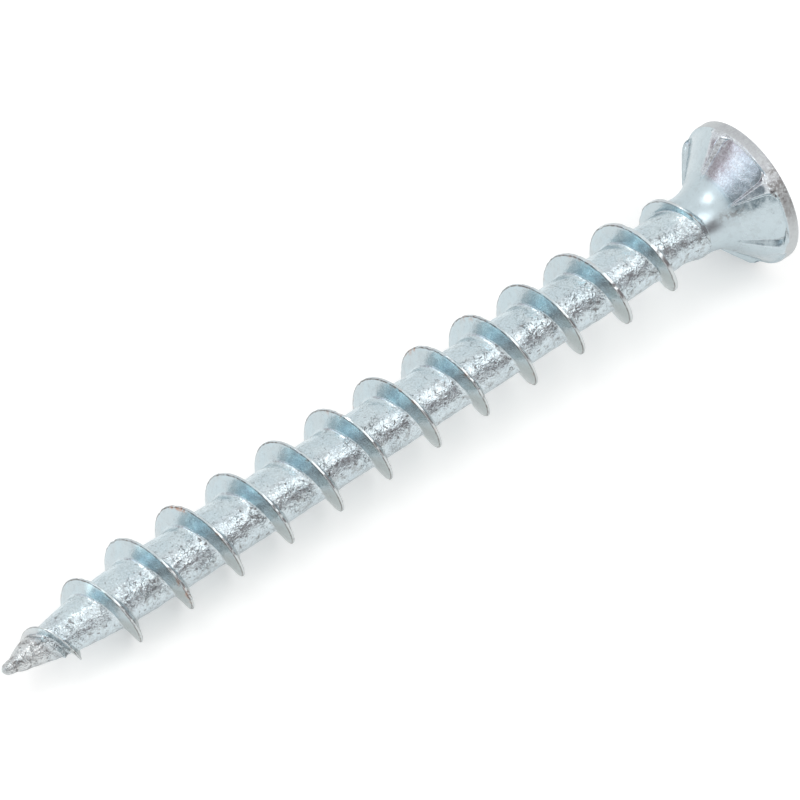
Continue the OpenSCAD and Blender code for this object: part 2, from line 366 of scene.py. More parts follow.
class Shank:
    """Core and thread as a grid: a column for each step around, and rows that follow the thread."""

    def __init__(self):
        step = np.arange(STEPS)[:, None]
        row = np.arange(ROWS * TURNS)[None, :]
        kind = row % ROWS
        crest_z = PITCH * (step / STEPS - PHASE / 360 + row // ROWS)
        self.depth = np.maximum(0, crest_at(crest_z) - core_at(crest_z))
        worn = WORN_CREST + MORE_WORN * rise(crest_z, WORN_FROM, WORN_RAMP)
        widened = np.sign(ROW_AT[kind]) * worn * ease(ROW_SHARE[kind] / 0.3) * ease(self.depth / 0.4)
        self.z = crest_z + self.row_offset(ROW_AT[kind]) + widened
        self.share = np.broadcast_to(ROW_SHARE[kind], self.z.shape)
        self.angle = np.broadcast_to(FULL_TURN * step / STEPS, self.z.shape)
        self.degrees = np.degrees(self.angle)
        self.smooth_r = core_at(self.z) + self.share * self.depth
        self.place = polar(self.angle, self.smooth_r, self.z)
        # Height of the second low ridge of the first turn, and where that turn counts as young
        self.second = PITCH * (self.degrees - PHASE) / 360 + PITCH - RIDGE_LEAD
        self.young = fall(self.z, *YOUNG_BELOW) * rise(self.z, *YOUNG_FROM)

    def row_offset(self, off):
        """Distance of a row from the crest: a low thread is narrower, and its root is wider instead."""
        wide = np.clip(self.depth / (CREST_R - CORE_R), LEAST_WIDTH, 1)
        root_scale = (PITCH / 2 - FOOT_AT * wide) / (PITCH / 2 - FOOT_AT)
        root = np.sign(off) * (FOOT_AT * wide + (np.abs(off) - FOOT_AT) * root_scale)
        return np.where(np.abs(off) <= FOOT_AT, wide * off, root)

    def radius(self):
        """Radius with rolled relief on the core, nicks, chips and burrs on the crest, and the first turn."""
        edge = rise(self.share, 0.6, 0.4) * ease(self.depth / 0.5)
        root = 1 - rise(self.share, 0.02, 0.2)
        fine, broad = FINE(self.place), BROAD(self.place)
        relief = (ROLLED_FINE * fine + ROLLED_BROAD * broad) * root
        nick = np.minimum(0, fine + 0.3 * broad) * edge
        chip = rise(CHIPS(self.place), 1.1, 0.7)
        beaten = side(self.degrees, BEATEN_SIDE) * fall(self.z, *BEATEN_BELOW)
        burr = np.maximum(0, BURRS(self.place)) * beaten
        worn = NICK_DEPTH * nick - (CHIP_DEPTH + BEATEN_CHIP * beaten) * chip + BURR_HEIGHT * burr
        first_turn = self.first_turn(broad) * (1 - self.share)
        return self.smooth_r + relief + edge * worn + first_turn - pinch(self.z)

    def first_turn(self, broad):
        """The first turn is a low double lump before the thread stands up."""
        lump = bell((self.z - LUMP_Z) / LUMP_HALF, 4) * side(self.degrees, LUMP_SIDE)
        ridge = bell((self.z - self.second) / RIDGE_HALF, 1.6) * (0.6 + 0.4 * np.tanh(broad))
        ridge = ridge * rise(self.degrees, *RIDGE_FROM) * (1 - rise(self.degrees, *RIDGE_TO))
        groove = bell((self.z - self.second + GROOVE_LEAD) / GROOVE_HALF) * rise(self.degrees, *GROOVE_FROM)
        return LUMP_HEIGHT * lump + (RIDGE_HEIGHT * ridge - GROOVE_DEPTH * groove) * self.young

    def masks(self):
        """Marks on core, thread and neck, by the masks' names, with painted reflection and shade by side."""
        last_line = PITCH * ((self.degrees - PHASE) / 360 + NECK_FROM_TURN)
        neck_from = np.where(self.degrees < PHASE, last_line, THREAD_END)
        fade_from, fade_length = NECK_FADE
        # Darker lines beside the second ridge, in the colour only
        before = side(self.z - self.second, CREASE_BEFORE)
        behind = side(self.z - self.second, CREASE_BEHIND)
        crease_side = rise(self.degrees, *CREASE_FROM) * (1 - rise(self.degrees, *CREASE_TO))
        crease = (1.2 * before + 1.1 * behind) * self.young * crease_side
        # Painted shade: olive flanks on the lower side
        olive_shade = 0.5 * rise(np.cos(self.angle - math.radians(OLIVE_SHADE_AT)), 0.55, 0.42)
        # Painted reflection: the flanks of one side go blue
        blue_reflection = 0.5 * side(self.degrees, BLUE_REFLECTION_SIDE, 4)
        # Painted shade: the lower side of the core is darker and duller
        lower_shade = 0.3 + 0.7 * rise(self.degrees, *LOWER_SHADE_FROM) * (1 - 0.4 * rise(self.degrees, *LOWEST_FROM))
        return {
            "crest": rise(self.share, 0.93, 0.06) * ease(self.depth / 0.3),
            "flank": rise(self.share, 0.05, 0.08),
            "head": NECK_MASK * rise(self.z, neck_from + fade_from, fade_length),
            "stain": (rise(SLOW(self.place), 0.6, 1.0) * rise(self.share, 0.72, 0.25)
                      * fall(self.z, *RUST_BELOW)),
            "tip": fall(self.z, *POINT_BELOW),
            # Darker colour in the lines by the second ridge and in the pinch
            "dirt": np.clip(crease + pinch_dark(self.z), 0, 1),
            "foot": bell((self.share - 0.06) / 0.035) * rise(self.depth, 0.3, 0.4),
            "cast": 0.5 + olive_shade - blue_reflection,
            GRIT_AND_SHADE: np.maximum(fall(self.z, *ROUGH_BELOW), lower_shade),
        }

    def add_points(self, skin):
        """Add the points between nose and neck; gives back their numbers, laid out as the grid."""
        keep = (self.z > LOW_Z) & (self.z < TOP_Z)
        number = np.full(self.z.shape, -1)
        points = polar(self.angle, self.radius(), self.z)
        number[keep] = skin.add(points[keep], **{name: mask[keep] for name, mask in self.masks().items()})
        return number

    def add_faces(self, skin, number, nose_edge, neck_edge):
        """Add the faces of the whole shank, which end on the last ring of the nose and on the neck's ring."""
        def corner(i, q):
            """Number of the point at step i and row q; above and below it is a point of an end ring."""
            on, q = i % STEPS, q + ROWS * (i // STEPS)
            past = q >= ROWS * TURNS
            q = np.minimum(q, ROWS * TURNS - 1)
            found = np.where(past | (self.z[on, q] >= TOP_Z), neck_edge[on], number[on, q])
            return np.where(~past & (self.z[on, q] <= LOW_Z), nose_edge[on], found)

        i, q = np.meshgrid(np.arange(STEPS), np.arange(ROWS * TURNS), indexing="ij")
        skin.quads(corner(i, q), corner(i, q + 1), corner(i + 1, q + 1), corner(i + 1, q))


def add_nose(skin):
    """The rounded tip and the nub behind it; gives back the numbers of the last ring."""
    heights = np.concatenate([NOSE_R * (1 - np.cos(NOSE_TURNS)), NUB_HEIGHTS, [LOW_Z]])
    rounding = np.append(np.sin(NOSE_TURNS), np.ones(len(NUB_HEIGHTS) + 1))
    radii = core_at(heights) * rounding - pinch(heights)
    rings = np.array([skin.add(polar(AROUND, r, z), tip=1, grit=1, dirt=pinch_dark(z))
                      for r, z in zip(radii, heights)])
    tip = skin.add([[0, 0, 0]])
    skin.triangles(np.full(STEPS, tip[0]), np.roll(rings[0], -1), rings[0])
    skin.rings(rings)
    return rings[-1]


# Columns of one period under the head: over the rib, down its wall, over the pocket, up the next rib's wall
RIB_U = np.linspace(-1, 1, 7)
WALL_U = np.array([0.18, 0.36, 0.54, 0.72, 0.9])
POCKET_U = (1 - np.cos(np.linspace(0, math.pi, POCKET_COLUMNS))) / 2

# Painted shade on the walls of those columns, and painted highlights on the rib edges; the first columns of
# the pocket get the painted highlight too
EDGE_HIGHLIGHT_SHARE = 0.012
# Painted shade on the walls beside each rib
WALL_SHADE = np.tile(np.concatenate([
    np.zeros(len(RIB_U)), [0.4, 0.9, 1.0, 0.9, 0.3], np.zeros(POCKET_COLUMNS), [1.0, 0.85, 0.5, 0.3, 0.1],
]), RIB_COUNT)
# Painted highlights on the rib edges and the first pocket columns
EDGE_HIGHLIGHT = np.tile(np.concatenate([
    [1, 0.3, 0, 0, 0, 0.3, 1], [0.5, 0, 0, 0, 0.9], 0.9 * (POCKET_U < EDGE_HIGHLIGHT_SHARE), [0.4, 0, 0, 0, 0.5],
]), RIB_COUNT)

RIB_TOP = np.array([HEAD_R - RIB_INSET, RIM_HEIGHT + RIB_END + RIB_LIFT])
RIB_FACE = np.array([math.cos(RIB_ANGLE), math.sin(RIB_ANGLE)])
RIB_WAY = np.array([-math.sin(RIB_ANGLE), math.cos(RIB_ANGLE)])


def rib_period(r, high, last_width):
    """Angles and rib shares of one period at radius r, for a rib this high and a last wall this wide."""
    flare = RIB_WIDTH / 2 / (HEAD_R - RIB_START)
    half = max(flare * (r - RIB_START) - RIB_BEVEL, RIB_TIP)
    near_rim = min(max((r - SIDE_R + WALL_FLARE_LEN) / WALL_FLARE_LEN, 0), 1)
    foot = WALL_FOOT + WALL_SLOPE * high + WALL_FLARE * near_rim ** 3
    rib_and_wall = np.concatenate([RIB_U * half, half + foot * WALL_U]) / r
    open_from, open_to = (half + foot) / r, RIB_STEP - (half + foot * last_width) / r
    pocket = open_from + POCKET_U * (open_to - open_from)
    last_wall = RIB_STEP - (half + foot * last_width * WALL_U[::-1]) / r
    wall = 1 - ease(WALL_U)
    shares = np.concatenate([np.ones(len(RIB_U)), wall, np.zeros(POCKET_COLUMNS), wall[::-1]])
    return np.concatenate([rib_and_wall, pocket, last_wall]), shares


def rib_ring(r, deep, rib_r, rib_deep):
    """Angles, radii and depths of one ring under the head; its ribs have their own radius and depth."""
    high = math.hypot(rib_r - r, rib_deep - deep)
    angles, shares = [], []
    for k, width in enumerate(WALL_WIDTHS):
        period, share = rib_period(r, high, width)
        angles.append(period + math.radians(RIB_PHASE) + k * RIB_STEP)
        shares.append(share)
    share = np.concatenate(shares)
    return np.concatenate(angles), r + (rib_r - r) * share, deep + (rib_deep - deep) * share


def rib_end(along):
    """Point on a rib's rounded end: along the rib towards the neck, or down its end where negative."""
    if along < -RIB_END_ROUND:
        return RIB_TOP + np.array([0, along])
    u = min(max((RIB_END_ROUND - along) / (2 * RIB_END_ROUND), 0), 1)
    start, stop = RIB_TOP + RIB_END_ROUND * RIB_WAY, RIB_TOP - np.array([0, RIB_END_ROUND])
    return (1 - u) ** 2 * start + 2 * u * (1 - u) * RIB_TOP + u ** 2 * stop


def rib_over(r, deep):
    """Rib point over this point of the underside: out along the normal up to the line over the rib tops."""
    surface = np.array([r, deep])
    lean = HALF_ANGLE if r > HOLLOW_R else math.acos(1 - (r - NECK_R) / NECK_HOLLOW)
    normal = np.array([math.cos(lean), math.sin(lean)])
    height = max(0.0, float(RIB_FACE @ (RIB_TOP - surface))) / float(RIB_FACE @ normal)
    point = surface + height * float(rise(r, RIB_START, RIB_RAMP)) * normal
    along = float(RIB_WAY @ (point - RIB_TOP))
    return point if along > RIB_END_ROUND else rib_end(max(along, 0))


def head_rings():
    """Rings from the neck over the underside with its ribs, and up the rim to the edge of the face."""
    hollow = [(NECK_R + NECK_HOLLOW * (1 - math.cos(HALF_ANGLE * u)),
               HOLLOW_END - NECK_HOLLOW * math.sin(HALF_ANGLE * u)) for u in np.linspace(0, 1, HOLLOW_ROWS)]
    cone = [(HOLLOW_R + (SIDE_R - HOLLOW_R) * u, HOLLOW_TOP + (RIM_HEIGHT - HOLLOW_TOP) * u)
            for u in 1 - (1 - np.linspace(0, 1, CONE_ROWS)[1:-1]) ** CONE_CROWDING]
    rings = [rib_ring(r, deep, *rib_over(r, deep)) for r, deep in hollow + cone]
    for u in RIB_END_ROWS:
        r, deep = SIDE_R + STEP_LEAN * u, RIM_HEIGHT + STEP_DROP * (1 - u)
        rings.append(rib_ring(r, deep, *rib_end(-RIB_END * u)))
    for turn_up in RIM_EDGE_TURNS:
        deep = RIM_HEIGHT - RIM_EDGE * (1 - math.sin(turn_up))
        rings.append(rib_ring(HEAD_R - RIM_EDGE * (1 - math.cos(turn_up)), deep, HEAD_R - RIM_INSET, deep))
    for u in RIM_SIDE_ROWS:
        deep = RIM_HEIGHT - RIM_EDGE + (RIM_ROUND - RIM_HEIGHT + RIM_EDGE) * u
        rings.append(rib_ring(HEAD_R, deep, HEAD_R, deep))
    for turn_up in RIM_ROUND_TURNS:
        r = HEAD_R - RIM_ROUND + RIM_ROUND * math.cos(turn_up)
        deep = RIM_ROUND - RIM_ROUND * math.sin(turn_up)
        rings.append(rib_ring(r, deep, r, deep))
    return rings


def head_masks(angle, r, deep):
    """Marks under the head and on its rim, by the masks' names: dirt, and painted light and shade by side."""
    degrees = np.degrees(angle) % 360
    band = rise(r, HEAD_R - 0.06, 0.04)
    outer = rise(r, *OUTER_FROM) * (1 - band)
    # Painted shade on the rib walls around 272 degrees, less on the lowest wall
    shaded_wall_side = side(degrees, SHADED_WALL_SIDE, 8) * (1 - 0.7 * side(degrees, LOWEST_WALL))
    # Painted shade on the rim, mottled, around 283 degrees
    rim_shade = side(degrees, RIM_SHADE_SIDE) * band
    pebbles = side(degrees, PEBBLE_SIDE) * rise(r, *PEBBLES_FROM) * (1 - band)
    # Painted dark reflection in the curve of the neck, around 286 degrees
    dark_reflection = side(degrees, DARK_REFLECTION_SIDE) * rise(r, *DARK_REFLECTION_FROM) * fall(r, *DARK_REFLECTION_BELOW)
    # Painted shade on the rib walls and the rim, dirt pebbles, and a painted dark reflection
    dirt = 1.5 * rim_shade + 0.9 * WALL_SHADE * outer * shaded_wall_side + 0.35 * pebbles + 0.85 * dark_reflection
    # Painted highlights on the lit side: on the edges, and as a line along the rim's step
    lit = side(degrees, LIT_SIDE, 4)
    rim_highlight = lit * rise(r, SIDE_R + 0.05, 0.05) * (1 - fall(deep, RIM_HEIGHT - 0.03, 0.05))
    return {
        "dirt": np.clip(dirt, 0, 1),
        "head": NECK_MASK + 0.2 * rise(r, HOLLOW_R - 0.2, 0.3) + 0.5 * band,
        # Painted highlight on the rib edges and on the rim's step
        "foot": np.clip(0.75 * EDGE_HIGHLIGHT * outer * (0.2 + 0.8 * lit) + 0.8 * rim_highlight, 0, 1),
        # Side mask under the head: 0 in the pocket between 214 and 274 degrees, painted light; 1 on the rest
        # of the cone, painted shade
        "cast": rise(degrees, *SHADE_FROM) + fall(degrees, *SHADE_BELOW),
    }


def add_head(skin, neck_edge):
    """Underside and rim of the head; gives back the numbers and the angles of the last ring."""
    rings = head_rings()
    grid = []
    for angle, r, deep in rings:
        place = polar(angle, r, LENGTH - deep)
        relief = HEAD_FINE * FINE(place) + HEAD_BROAD * BROAD(place)
        relief = relief * (HOLLOW_RELIEF + (1 - HOLLOW_RELIEF) * rise(r, HOLLOW_R - 0.1, 0.6))
        inside = (r < HEAD_R - 0.05) & (deep > 0.3) & (r > NECK_R + 0.05)
        grid.append(skin.add(polar(angle, r + relief * inside, LENGTH - deep), **head_masks(angle, r, deep)))
    grid = np.array(grid)
    skin.rings(grid)
    skin.bridge(neck_edge, AROUND, grid[0], rings[0][0])
    return grid[-1], rings[-1][0]


def recess_outline():
    """Angles and radii of one lobe of the recess and the flute beside it."""
    half_step = LOBE_STEP / 2
    flute_r = ((LOBE_AT ** 2 + FLUTE_WAIST ** 2 - 2 * LOBE_AT * FLUTE_WAIST * math.cos(half_step)
                - LOBE_R ** 2) / (2 * LOBE_R - 2 * FLUTE_WAIST + 2 * LOBE_AT * math.cos(half_step)))
    flute_at = FLUTE_WAIST + flute_r
    flute_turn = math.asin(LOBE_AT * math.sin(half_step) / (LOBE_R + flute_r))
    lobe_turn = half_step + flute_turn
    lobe = np.linspace(-lobe_turn, lobe_turn, ARC_STEPS)
    flute = math.pi + half_step - np.linspace(flute_turn, -flute_turn, ARC_STEPS)[1:-1]
    x = np.append(LOBE_AT + LOBE_R * np.cos(lobe), flute_at * math.cos(half_step) + flute_r * np.cos(flute))
    y = np.append(LOBE_R * np.sin(lobe), flute_at * math.sin(half_step) + flute_r * np.sin(flute))
    return np.arctan2(y, x), np.hypot(x, y)


def add_face(skin, rim_edge, rim_angle):
    """Flat face of the head with the recess: its bevelled mouth, walls and drilled bottom."""
    angle = FULL_TURN * np.arange(FACE_STEPS) / FACE_STEPS
    edge_r = np.interp(angle, *recess_outline(), period=LOBE_STEP)
    rows = [(r, 0.0) for r in FACE_RADII]
    for u in BEVEL_ROWS:
        r = MOUTH_R + (edge_r - MOUTH_R) * u
        rows.append((r, (MOUTH_R - r) / BEVEL_SLOPE))
    mouth_deep = rows[-1][1]
    for u in RECESS_WALL_ROWS:
        rows.append((edge_r - WALL_INSET - WALL_DRAFT * u, mouth_deep + (RECESS_DEPTH - mouth_deep) * u))
    for u in RECESS_BOTTOM_ROWS:
        r = (edge_r - BOTTOM_INSET) * (1 - u)
        rows.append((r, RECESS_DEPTH + RECESS_POINT * fall(r, *DRILLED_BELOW)))
    grid = []
    for r, deep in rows:
        # Painted shade inside the recess, less towards the bottom
        dirt = RECESS_SHADE * ease(deep / 0.3) - BOTTOM_LESS_SHADE * rise(deep, BOTTOM_AT, 1)
        grid.append(skin.add(polar(angle, r, LENGTH - deep), head=FACE_MASK, dirt=dirt))
    grid = np.array(grid)
    skin.rings(grid)
    skin.bridge(rim_edge, rim_angle, grid[0], angle)
    bottom = skin.add([[0, 0, LENGTH - RECESS_DEPTH - RECESS_POINT]])
    skin.triangles(grid[-1], np.full(FACE_STEPS, bottom[0]), np.roll(grid[-1], -1))


def rest_place():
    """Turns and lift that lay the screw on the rim of its head and on a crest near the point."""
    crests = np.array([PITCH * ((REST_TURN - PHASE) / 360 + k) for k in range(TURNS)])
    usable = crests[(crests > FIRST_CREST) & (crests < THREAD_END - FADE_LEN)]
    lean = np.min(np.arctan((HEAD_R - crest_at(usable)) / (LENGTH - RIM_HEIGHT - usable)))
    lift = HEAD_R * math.cos(lean) - (LENGTH - RIM_HEIGHT) * math.sin(lean)
    reach = (LENGTH - RIM_ROUND) * math.cos(lean) + (HEAD_R - RIM_ROUND) * math.sin(lean) + RIM_ROUND
    return (Matrix.Translation((-reach / 2, 0, lift))
            @ Matrix.Rotation(math.pi / 2 - lean, 4, "Y") @ Matrix.Rotation(-math.radians(REST_TURN), 4, "Z"))


def skin_mesh(skin):
    """Mesh of the skin, laid down, kept inside the box of the CAD and with its masks as attributes."""
    laid = rest_place()
    points = np.concatenate(skin.points) @ np.array(laid.to_3x3()).T + np.array(laid.translation)
    low, high = np.array(cad_box) / MM
    points = np.clip(points, low, high) * MM
    # A triangle, or a quad that closes on an end ring, has a corner twice
    corners = [list(dict.fromkeys(face)) for face in np.concatenate(skin.faces).tolist()]
    faces = [face for face in corners if len(face) > 2]

    mesh = bpy.data.meshes.new("screw_skin")
    mesh.from_pydata(points.tolist(), [], faces)
    masks = np.concatenate(skin.masks).astype(np.float32)
    for name, members in LAYERS.items():
        first = MASKS.index(members[0])
        layer = mesh.color_attributes.new(name, "FLOAT_COLOR", "POINT")
        layer.data.foreach_set("color", masks[:, first:first + len(members)].ravel())
    layer = mesh.attributes.new(GRIT_AND_SHADE, "FLOAT", "POINT")
    layer.data.foreach_set("value", masks[:, MASKS.index(GRIT_AND_SHADE)])

    work = bmesh.new()
    work.from_mesh(mesh)
    bmesh.ops.recalc_face_normals(work, faces=work.faces)
    for edge in work.edges:
        edge.smooth = len(edge.link_faces) == 2 and edge.calc_face_angle(0.0) < SHARP_EDGE
    for face in work.faces:
        face.smooth = True
    work.to_mesh(mesh)
    work.free()
    print("screw_skin", len(faces), "faces", sum(len(face) - 2 for face in faces), "triangles")
    return mesh


class Nodes:
    """Short way to write a node tree."""

    def __init__(self, tree):
        self.tree = tree
        tree.nodes.clear()

    def add(self, kind, **values):
        node = self.tree.nodes.new(kind)
        for name, value in values.items():
            setattr(node, name, value)
        return node

    def link(self, start, end):
        self.tree.links.new(start, end)

    def give(self, value, socket):
        """Link a socket, or set a number or a colour on the socket itself."""
        if isinstance(value, bpy.types.NodeSocket):
            self.link(value, socket)
        elif isinstance(value, tuple):
            socket.default_value = (*value, 1)
        else:
            socket.default_value = value

    def math(self, operation, *values, clamp=False):
        node = self.add("ShaderNodeMath", operation=operation, use_clamp=clamp)
        for socket, value in zip(node.inputs, values):
            self.give(value, socket)
        return node.outputs[0]

    def times(self, product, *others):
        for other in others:
            product = self.math("MULTIPLY", product, other)
        return product

    def plus(self, total, *others):
        for other in others:
            total = self.math("ADD", total, other)
        return total

    def larger(self, a, b):
        return self.math("MAXIMUM", a, b)

    def noise(self, where, scale, detail, rough, distortion=0.0):
        node = self.add("ShaderNodeTexNoise")
        self.link(where, node.inputs["Vector"])
        node.inputs["Scale"].default_value = scale
        node.inputs["Detail"].default_value = detail
        node.inputs["Roughness"].default_value = rough
        node.inputs["Distortion"].default_value = distortion
        return node.outputs["Fac"]

    def span(self, value, low, high, to_low=0.0, to_high=1.0):
        """Smooth step of a value from low to high, onto another range."""
        node = self.add("ShaderNodeMapRange", interpolation_type="SMOOTHSTEP")
        for socket, number in zip(node.inputs, (value, low, high, to_low, to_high)):
            self.give(number, socket)
        return node.outputs[0]

    def mix(self, share, a, b):
        node = self.add("ShaderNodeMix", data_type="RGBA")
        for at, value in ((0, share), (6, a), (7, b)):
            self.give(value, node.inputs[at])
        return node.outputs[2]

    def crease_line(self, pattern):
        """0 where the noise crosses its middle, more on both sides: the lines of wrinkles."""
        return self.math("ABSOLUTE", self.math("SUBTRACT", pattern, 0.5))

    def seen_background(self):
        """1 for rays that come straight from the camera, from a mirror or through glass."""
        path = self.add("ShaderNodeLightPath")
        mirrored = self.larger(path.outputs["Is Glossy Ray"], path.outputs["Is Transmission Ray"])
        return self.larger(path.outputs["Is Camera Ray"], mirrored)


def new_material(name):
    """An empty node material, its nodes and its surface socket."""
    material = bpy.data.materials.new(name)
    material.use_nodes = True
    n = Nodes(material.node_tree)
    return material, n, n.add("ShaderNodeOutputMaterial").inputs["Surface"]


# Noise patterns of the zinc: scale per metre, detail, roughness and distortion
PATTERNS = {
    "cloudy": (900, 5, 0.6),
    "patches": (900, 4, 0.62, 0.5),
    "grain": (5200, 4, 0.6, 0.6),
    "fine_grain": (9500, 2, 0.6),
    "pits": (4600, 2, 0.5, 0.8),
    "wrinkles": (2300, 2, 0.5, 1.6),
    "wrinkle_patches": (650, 2, 0.5),
    "dull": (2300, 6, 0.74, 0.4),
    "smears": (5500, 4, 0.65),
    "smear_patches": (1900, 3, 0.6),
    "rust": (2600, 3, 0.6),
    "waves": (4200, 2, 0.5, 0.8),
    "folds": (2600, 3, 0.6, 0.9),
    "swells": (1300, 1, 0.5),
    "specks": (9000, 1, 0.5),
}

# Colours of the zinc and of what lies on it; a pair is mixed in clouds or patches, or from side to side.
# Where colours go by side they are painted light, shade and reflection; the edge highlight is painted, and
# the dirt colour also paints shade
CORE_COLOURS = (0.57, 0.65, 0.695), (0.61, 0.685, 0.72)
# Painted light: the lighter, bluer upper side of the core
UPPER_LIGHT_COLOURS = (0.565, 0.67, 0.715), (0.61, 0.705, 0.74)
FLANK_COLOURS = (0.515, 0.59, 0.62), (0.51, 0.605, 0.645)
# Blue of a painted reflection on one side of the flanks
BLUE_REFLECTION_COLOURS = (0.56, 0.71, 0.77), (0.74, 0.94, 1.0)
# Olive of the painted shade on the lower side
OLIVE_SHADE = (0.435, 0.475, 0.465)
POINT_COLOUR = (0.63, 0.64, 0.64)
# Cone colours, lit and shaded by side, and the lit pocket: painted light and shade
CONE_LIT_AND_SHADED_COLOURS = (0.53, 0.625, 0.665), (0.495, 0.575, 0.61)
LIT_POCKET_COLOUR = (0.615, 0.66, 0.695)
RIM_COLOUR = (0.535, 0.56, 0.57)
# Colour of the pale line at the thread's foot and of the painted highlights on edges
PALE_LINE_AND_HIGHLIGHT_COLOUR = (0.75, 0.8, 0.83)
DULL_COLOUR = (0.24, 0.24, 0.24)
GRAIN_COLOUR = (0.42, 0.48, 0.5)
POCKET_GRAIN_COLOUR = (0.42, 0.42, 0.46)
# Colour of dirt and of painted shade
DIRT_AND_SHADE_COLOUR = (0.18, 0.165, 0.16)
PIT_COLOUR = (0.16, 0.155, 0.155)
RUST_COLOUR = (0.5, 0.24, 0.14)
CREST_LINE_COLOUR = (0.15, 0.13, 0.12)
CREST_COLOUR = (0.6, 0.63, 0.64)

# Distance that the shader's bumps stand for, in metres
BUMP_HEIGHT = 0.00006


def zinc_masks(n):
    """The masks of the skin as sockets, and the areas that follow from them."""
    sockets = {}
    for layer, members in LAYERS.items():
        attribute = n.add("ShaderNodeAttribute", attribute_name=layer)
        parts = n.add("ShaderNodeSeparateColor")
        n.link(attribute.outputs["Color"], parts.inputs[0])
        sockets.update(zip(members, (*parts.outputs, attribute.outputs["Alpha"])))
    sockets[GRIT_AND_SHADE] = n.add("ShaderNodeAttribute", attribute_name=GRIT_AND_SHADE).outputs["Fac"]
    m = SimpleNamespace(**sockets)
    m.open_core = n.math("SUBTRACT", 1.0, n.larger(m.flank, n.span(m.head, 0.0, 0.3)), clamp=True)
    # The rough side is also painted darker: painted shade
    m.rough_side = n.span(m.grit, 0.3, 1.0, 0.42, 1.0)
    # The lit pocket: the cone between 214 and 274 degrees, painted lighter as painted light
    m.pocket = n.times(n.span(m.head, 0.36, 0.5), n.span(m.cast, 0.0, 0.7, 1.0, 0.0))
    m.rim = n.span(m.head, 0.82, 1.0)
    m.polished = n.times(n.span(m.head, 0.02, 0.28), n.span(m.head, 0.32, 0.48, 1.0, 0.0))
    return m


def zinc_plating(n, m, p):
    """Colour of the clean zinc in each area, with painted reflection, light and shade by side and painted
    highlights on edges.
    """
    colour = n.mix(n.span(p.cloudy, 0.35, 0.65), *CORE_COLOURS)
    patches = n.span(p.patches, 0.43, 0.57)
    # Painted reflection: blue flanks on one side only
    to_blue_reflection = n.span(m.cast, 0.0, 0.48, 1.0, 0.0)
    flank = n.mix(to_blue_reflection, n.mix(patches, *FLANK_COLOURS), n.mix(patches, *BLUE_REFLECTION_COLOURS))
    # Painted shade: olive flanks on the lower side
    flank = n.mix(n.span(m.cast, 0.55, 1.0, 0.0, 0.9), flank, OLIVE_SHADE)
    colour = n.mix(n.times(m.flank, 0.9), colour, flank)
    colour = n.mix(n.times(m.tip, 0.85), colour, POINT_COLOUR)
    # Cone colours by side: painted light and shade
    colour = n.mix(n.span(m.head, 0.02, 0.25, 0.0, 0.85), colour, n.mix(m.cast, *CONE_LIT_AND_SHADED_COLOURS))
    # Colour of the lit pocket: painted light
    colour = n.mix(m.pocket, colour, LIT_POCKET_COLOUR)
    colour = n.mix(m.rim, colour, RIM_COLOUR)
    # Painted highlights on the rib edges and the rim's step, and the pale line at the thread's foot
    return n.mix(n.times(m.foot, n.span(p.cloudy, 0.3, 0.55, 0.35, 0.85)), colour, PALE_LINE_AND_HIGHLIGHT_COLOUR)


def zinc_marks(n, m, p, pits, colour):
    """The same with dull patches, grain, dirt, pits, rust and the dark line of the crest, with painted shade
    on the lower side, painted light on the upper side and painted shade in the dark mask.
    """
    # Dull dark patches, more of them on the lower side as painted shade
    dull_shade_side = n.times(m.open_core, m.rough_side, n.span(m.cast, 0.45, 1.0, 0.42, 0.55))
    dull = n.times(n.span(p.dull, 0.5, 0.62), n.plus(dull_shade_side, 0.12))
    colour = n.mix(dull, colour, DULL_COLOUR)
    # The upper side is painted a lighter, bluer colour: painted light
    upper_light = n.times(n.span(m.grit, 0.3, 0.75, 0.9, 0.0), m.open_core)
    colour = n.mix(upper_light, colour, n.mix(n.span(p.cloudy, 0.4, 0.6), *UPPER_LIGHT_COLOURS))
    fine_grain = n.span(p.fine_grain, 0.42, 0.6)
    colour = n.mix(n.times(fine_grain, m.open_core, 0.4), colour, GRAIN_COLOUR)
    colour = n.mix(n.times(fine_grain, m.pocket, 0.5), colour, POCKET_GRAIN_COLOUR)
    # Dirt and painted shade darken the colour in smears
    smear = n.times(m.dirt, n.span(p.smears, 0.38, 0.56), n.span(p.smear_patches, 0.4, 0.58, 0.35, 1.0))
    colour = n.mix(n.times(smear, 0.8), colour, DIRT_AND_SHADE_COLOUR)
    colour = n.mix(n.times(pits, 0.9), colour, PIT_COLOUR)
    rust = n.times(n.span(p.rust, 0.5, 0.62), m.stain)
    colour = n.mix(n.math("MULTIPLY", rust, 0.9, clamp=True), colour, RUST_COLOUR)
    line = n.times(n.span(m.crest, 0.02, 0.25), n.span(m.crest, 0.6, 0.95, 1.0, 0.0))
    colour = n.mix(n.times(line, n.span(p.grain, 0.35, 0.6, 0.3, 0.95)), colour, CREST_LINE_COLOUR)
    return n.mix(n.span(m.crest, 0.8, 1.0, 0.0, 0.75), colour, CREST_COLOUR)


def zinc_roughness(n, m, p):
    """Grainy, duller on the rim and a little duller on the polished neck."""
    rough = n.plus(n.span(p.grain, 0.3, 0.7, 0.18, 0.28), n.times(m.rim, 0.27))
    return n.plus(rough, n.times(m.polished, 0.1))


